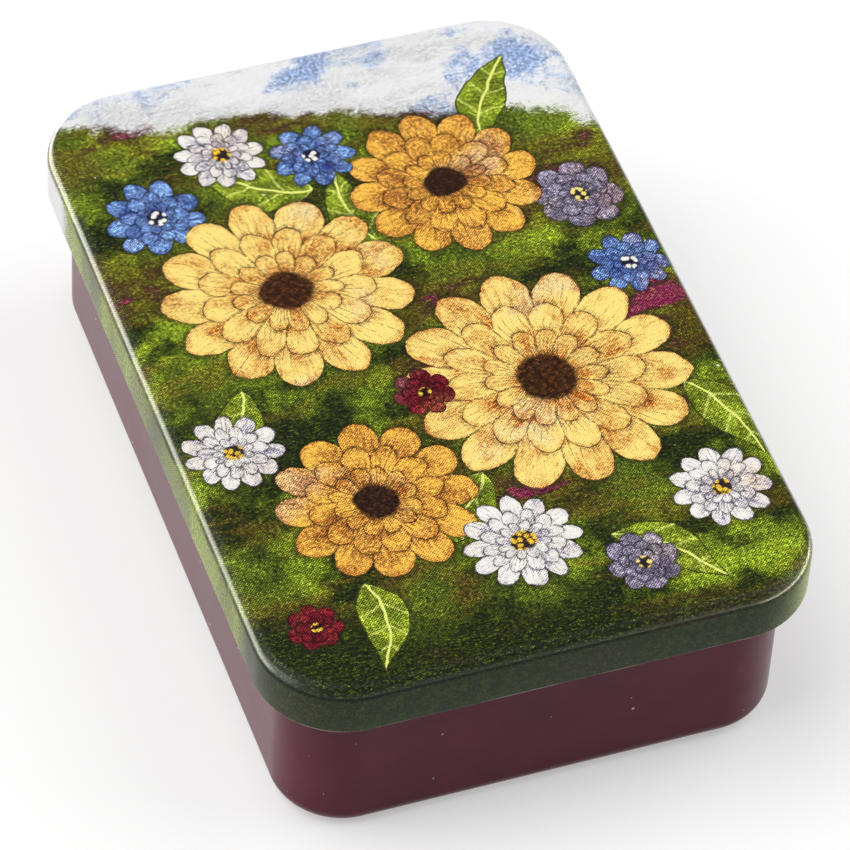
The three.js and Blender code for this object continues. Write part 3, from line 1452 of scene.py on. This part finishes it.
    def paint(self, n: Surface, place: Socket) -> Socket:
        """Paints the whole picture, before it is broken into dots.

        Args:
            n: the material's nodes.
            place: the point on the print.

        Returns:
            The picture's colour.
        """
        cloudy = n.put("ShaderNodeTexNoise", {"Vector": place, "Scale": 1 / self.waver_size,
                                              "Detail": 4.0}).outputs["Color"]
        blots = n.noise(place, self.blot_size, detail=6.0)
        wash = n.noise(n.vector("ADD", place, self.wash_shift), self.wash_size, detail=4.0)
        stipple = n.step(n.cells(place, 1 / self.stipple_size).outputs["Distance"], 0.2, 0.6)
        stain = n.times(n.minus(blots, 0.5), 2.6)
        press = n.step(n.noise(place, self.press_size, detail=2.0), 0.3, 0.62)
        line = n.line(press, self.pen, self.pen * 0.35)
        waver = n.scaled(n.vector("SUBTRACT", cloudy, (0.5, 0.5, 0.5)), self.waver)
        drawn = n.vector("MULTIPLY", n.vector("ADD", place, waver), FLAT)
        brush = Brush(drawn, line, stain, wash, stipple)
        ground = self.ground.paint(n, place, cloudy)
        return self.bouquet(n, brush, self.leaves(n, brush, ground))


@dataclass(frozen=True)
class Print:
    """The lid's printed flower garden, under a satin varnish that is thicker on the bend.

    Its edges are depths under the lid's top, except for the fold's, which are heights over the
    skirt's lowest line.
    """

    top: float
    bottom: float
    garden: Garden = Garden()
    skirt: SkirtPrint = SkirtPrint()
    pitch: float = 75 * MM / 396
    dot_strength: float = 1.5
    skirt_dots: float = 0.1
    felt_depth: float = 5.5
    skirt_felt: float = 0.8
    roughness: float = 0.27
    ior: float = 1.24
    bead_ior: float = 1.5
    peel_size: float = 0.4 * MM
    swell_size: float = 9 * MM
    wear_size: float = 7 * MM
    flat_edge: Span = (1.3 * MM, 0.4 * MM)
    picture_edge: Span = (1.7 * MM, 0.7 * MM)
    # Where the painted shade lies: a dark band along the front of the bend, just under the lid's
    # top.
    bend_shade_lower: Span = (1.2 * MM, 1.0 * MM)
    bend_shade_upper: Span = (0.65 * MM, 0.85 * MM)
    bend_shade_slant: tuple[float, ...] = (0.3, 1.0, 0.0)
    bend_shade_front: Span = (-30 * MM, -34 * MM)
    bead_upper: Span = (0.22 * MM, 0.36 * MM)
    bead_lower: Span = (0.88 * MM, 0.66 * MM)
    fold_edge: Span = (0.36 * MM, 0.24 * MM)
    # The colour of the painted shade along the front of the bend.
    bend_shade_colour: Colour = srgb(16, 24, 10)
    # The colour of the pale line painted along the fold.
    fold_pale: Colour = srgb(146, 130, 124)
    lint: Specks = Specks(11 * MM, 0.13 * MM, 0.35, srgb(226, 222, 216))
    grit: Specks = Specks(19 * MM, 0.2 * MM, 0.4, srgb(40, 40, 40))
    grit_shift: tuple[float, ...] = (0.017, 0.009, 0.0)

    def below(self, n: Nodes, height: Socket, edge: Span) -> Socket:
        """A smooth rise between two depths under the lid's top."""
        return n.step(height, self.top - edge[0], self.top - edge[1])

    def make(self, effects: Effects) -> Material:
        """The print as a material.

        Args:
            effects: the shared shader node groups.

        Returns:
            The material.
        """
        n = Surface("lid_print", effects)
        place, body = n.sheet(), n.body()
        height = n.dot(body, UP)
        flat = self.below(n, height, self.flat_edge)
        strength = n.line(flat, self.dot_strength * (1 - self.skirt_dots),
                          self.dot_strength * self.skirt_dots)
        felt = n.line(flat, self.felt_depth * (1 - self.skirt_felt),
                      self.felt_depth * self.skirt_felt)
        above = self.below(n, height, self.picture_edge)
        picture = n.blend(above, self.skirt.paint(n, body), self.garden.paint(n, place))
        # Painted shade: a dark band along the front of the bend, just under the lid's top.
        bend_shade = n.times(self.below(n, height, self.bend_shade_lower),
                       self.below(n, height, self.bend_shade_upper))
        ahead = n.step(n.dot(body, self.bend_shade_slant), *self.bend_shade_front)
        picture = n.blend(n.times(bend_shade, ahead, 0.7), picture, self.bend_shade_colour)
        dots = n.use(effects.halftone, {"Vector": place, "Pitch": self.pitch,
                                        "Strength": strength, "Felt": felt,
                                        "Color": picture})
        # A pale line painted in patches along the fold at the skirt's lowest line.
        fold = n.step(height, *(self.bottom + lift for lift in self.fold_edge))
        fold_patches = n.step(n.noise(place, self.wear_size, detail=3.0), 0.44, 0.6)
        edged = n.blend(n.times(fold, fold_patches), dots["Color"], self.fold_pale)
        dusty = self.lint.on(n, place, edged)
        dusty = self.grit.on(n, n.vector("ADD", place, self.grit_shift), dusty)
        coat = n.grain(body, self.peel_size, self.swell_size)
        worn = n.varied(coat["Swell"], self.roughness, 0.14)
        bend = n.times(self.below(n, height, self.bead_upper),
                       self.below(n, height, self.bead_lower))
        return n.finish({"Base Color": dusty, "Roughness": n.line(dots["Ink"], 0.06, worn),
                         "IOR": self.ior, "Normal": n.bump(coat["Peel"], 0.14),
                         "Coat Weight": bend, "Coat Roughness": self.roughness,
                         "Coat IOR": self.bead_ior})


@dataclass(frozen=True)
class Lacquer:
    """The base's plum lacquer: one deep colour under a clear satin surface."""

    colour: Colour = (0.119, 0.0165, 0.0355, 1.0)
    faded: Colour = (0.138, 0.0215, 0.0425, 1.0)
    roughness: float = 0.24
    ior: float = 1.21
    peel_size: float = 0.42 * MM
    swell_size: float = 7 * MM
    ripple: float = 0.36 * MM
    corner_across: Span = (16 * MM, 19.5 * MM)
    corner_along: Span = (28 * MM, 31.5 * MM)
    lint: Specks = Specks(6 * MM, 0.13 * MM, 0.4, srgb(228, 220, 218))

    def make(self, effects: Effects) -> Material:
        """The lacquer as a material.

        Args:
            effects: the shared shader node groups.

        Returns:
            The material.
        """
        n = Surface("plum_lacquer", effects)
        body, place = n.body(), n.sheet()
        coat = n.grain(body, self.peel_size, self.swell_size)
        tone = n.blend(n.step(coat["Swell"], 0.35, 0.65), self.colour, self.faded)
        across, along, up = n.parts(body)
        corner = n.times(n.step(n.math("ABSOLUTE", across), *self.corner_across),
                         n.step(n.math("ABSOLUTE", along), *self.corner_along))
        ripple = n.math("COSINE", n.line(coat["Swell"], 9.0,
                                         n.times(up, math.tau / self.ripple)))
        height = n.line(n.times(ripple, corner), 0.65, n.times(coat["Peel"], 0.5))
        return n.finish({"Base Color": self.lint.on(n, place, tone), "IOR": self.ior,
                         "Roughness": n.varied(coat["Swell"], self.roughness, 0.12),
                         "Normal": n.bump(height, 0.3)})


@dataclass(frozen=True)
class Tinplate:
    """The bare tinned steel inside both halves, with the mill's rolling lines along the tin."""

    colour: Colour = srgb(196, 192, 182)
    dull: Colour = srgb(168, 164, 154)
    roughness: float = 0.3
    line_size: float = 0.25 * MM
    line_depth: float = 0.01 * MM
    line_stretch: tuple[float, ...] = (1.0, 0.03, 1.0)
    peel_size: float = 1.2 * MM
    swell_size: float = 11 * MM

    def make(self, effects: Effects) -> Material:
        """The bare metal as a material.

        Args:
            effects: the shared shader node groups.

        Returns:
            The material.
        """
        n = Surface("bare_tinplate", effects)
        body = n.body()
        rolled = n.vector("MULTIPLY", body, self.line_stretch)
        lines = n.noise(rolled, self.line_size, detail=4.0)
        coat = n.grain(body, self.peel_size, self.swell_size)
        tone = n.blend(n.step(coat["Swell"], 0.4, 0.65), self.colour, self.dull)
        return n.finish({"Base Color": tone, "Metallic": 1.0,
                         "Roughness": n.varied(lines, self.roughness, 0.18),
                         "Normal": n.bump(lines, 0.15, self.line_depth)})


@dataclass(frozen=True)
class Paper:
    """The floor's plain white paper, which keeps the tin's shadow and makes it a light one."""

    colour: Colour = (0.6, 0.6, 0.6, 1.0)
    glow_colour: Colour = (1.0, 1.0, 1.0, 1.0)
    glow: float = 0.4
    roughness: float = 0.9

    def make(self) -> Material:
        """The paper as a material that looks whiter than the light it gives the tin.

        Returns:
            The material.
        """
        n = Surface("floor_paper")
        rays = n.put("ShaderNodeLightPath").outputs
        seen = n.math("MAXIMUM", rays["Is Camera Ray"], rays["Is Glossy Ray"])
        seen = n.math("MAXIMUM", seen, rays["Is Transmission Ray"])
        return n.finish({"Base Color": self.colour, "Roughness": self.roughness,
                         "Emission Color": self.glow_colour,
                         "Emission Strength": n.times(seen, self.glow)})


@dataclass(frozen=True)
class Softbox:
    """A soft lamp far away, given by its size and by where its light comes from.

    Args:
        name: its name.
        energy: how strongly it lights a face turned to it.
        spread_degrees: how wide it looks from the tin.
        side: where it stands, seen from the tin.
    """

    name: str
    energy: float
    spread_degrees: float
    side: tuple[float, float, float]

    def hang(self) -> None:
        """Adds the lamp to the scene."""
        data = bpy.data.lights.new(self.name, "SUN")
        data.energy = self.energy
        data.angle = math.radians(self.spread_degrees)
        lamp = add_object(self.name, data)
        lamp.rotation_mode = "QUATERNION"
        lamp.rotation_quaternion = Vector(self.side).to_track_quat("Z", "Y")


@dataclass(frozen=True)
class Strip:
    """A long low lamp that shows only as a glint along the lid's rounded edge.

    Args:
        name: its name.
        brightness: how bright it looks, where white paper is about 1.
        degrees: where it stands round the tin, from +X towards +Y.
        length: its length.
        height: its height.
        distance: how far from the tin it stands.
        lift: how far its lower edge is above the floor's level.
        tint: its colour.
    """

    name: str
    brightness: float
    degrees: float
    length: float
    height: float
    distance: float = 0.3
    lift: float = 0.0
    tint: tuple[float, float, float] = (1.0, 1.0, 0.84)

    def hang(self) -> None:
        """Adds the lamp to the scene."""
        data = bpy.data.lights.new(self.name, "AREA")
        data.shape = "RECTANGLE"
        data.size = self.length
        data.size_y = self.height
        data.energy = self.brightness * math.pi * self.length * self.height
        data.color = self.tint
        lamp = add_object(self.name, data)
        angle = math.radians(self.degrees)
        side = Vector((math.cos(angle), math.sin(angle), 0.0))
        lamp.location = side * self.distance + Vector((0, 0, self.lift + self.height / 2))
        lamp.rotation_mode = "QUATERNION"
        lamp.rotation_quaternion = side.to_track_quat("Z", "Y")
        lamp.visible_diffuse = False
        lamp.visible_camera = False


@dataclass
class Studio:
    """The pale floor, the soft lights and the camera."""

    yaw: float = 0.383687
    pitch: float = -0.746993
    roll: float = -0.065358
    aim: tuple[float, float, float] = (-0.472286 * MM, -7.933631 * MM, 493.2982 * MM)
    focal_pixels: float = 5597.71
    picture_pixels: float = 850.0
    sensor: float = 36.0
    clip: Span = (0.01, 20.0)
    floor_size: float = 6.0
    ambient: float = 0.11
    softboxes: tuple[Softbox, ...] = (
        Softbox("left_softbox", 2.1, 60.0, (-0.44, 0.2, 0.87)),
        Softbox("right_softbox", 1.05, 54.0, (0.64, -0.04, 0.77)),
        Softbox("left_fill", 0.9, 50.0, (-0.9, 0.12, 0.3)),
        Softbox("right_fill", 0.4, 50.0, (0.9, -0.1, 0.37)),
    )
    strips: tuple[Strip, ...] = (
        Strip("left_low_strip", 7.0, 141.0, 0.2, 0.021, distance=0.1),
        Strip("left_strip", 6.0, 141.0, 0.4, 0.075, lift=0.02),
        Strip("left_front_strip", 0.65, 209.0, 0.26, 0.08, lift=0.06),
        Strip("front_strip", 0.35, 285.0, 0.4, 0.1, lift=0.04),
        Strip("right_strip", 24.0, 330.0, 0.22, 0.01, distance=0.15, tint=(1.0, 1.0, 0.7)),
    )

    def camera(self, lid_top: float) -> None:
        """Sets the camera at the photograph's viewing angle.

        Args:
            lid_top: the height of the lid's top, whose middle the camera is placed from.
        """
        data = bpy.data.cameras.new("camera")
        data.sensor_width = self.sensor
        data.lens = self.focal_pixels * self.sensor / self.picture_pixels
        data.clip_start, data.clip_end = self.clip
        turn = (Matrix.Rotation(self.roll, 3, "Z") @ Matrix.Rotation(self.pitch, 3, "X")
                @ Matrix.Rotation(self.yaw, 3, "Z"))
        across, down, away = self.aim
        place = turn.transposed() @ Vector((-across, down, away)) + Vector((0, 0, lid_top))
        camera = add_object("camera", data)
        camera.matrix_world = Matrix.Translation(place) @ turn.transposed().to_4x4()
        bpy.context.scene.camera = camera

    def floor(self) -> None:
        """Lays the pale floor that the tin stands on."""
        half = self.floor_size / 2
        mesh = bpy.data.meshes.new("floor")
        mesh.from_pydata([(-half, -half, 0), (half, -half, 0), (half, half, 0),
                          (-half, half, 0)], [], [(0, 1, 2, 3)])
        mesh.materials.append(Paper().make())
        add_object("floor", mesh)

    def lights(self) -> None:
        """Hangs the soft lights and sets the pale surroundings."""
        world = bpy.data.worlds.new("surroundings")
        world.use_nodes = True
        background = world.node_tree.nodes["Background"]
        background.inputs["Color"].default_value = (1, 1, 1, 1)
        background.inputs["Strength"].default_value = self.ambient
        bpy.context.scene.world = world
        for lamp in (*self.softboxes, *self.strips):
            lamp.hang()


def main() -> None:
    """Builds the tin, dresses it and sets the studio round it."""
    logging.basicConfig(level=logging.INFO, format="%(name)s: %(message)s")
    scene = bpy.context.scene
    scene.view_settings.view_transform = "Standard"
    press = PressTree()
    tin = Tin()
    effects = Effects()
    low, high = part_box("lid")
    plum = Lacquer().make(effects)
    printed = Print(top=high.z, bottom=low.z).make(effects)
    bare = Tinplate().make(effects)
    for piece in (Base(tin).build(press, plum, bare), Lid(tin).build(press, printed, bare)):
        LOG.info("%s: %d faces", piece.name, len(piece.data.polygons))
    studio = Studio()
    studio.camera(high.z)
    studio.floor()
    studio.lights()


if __name__ == "__main__":
    main()
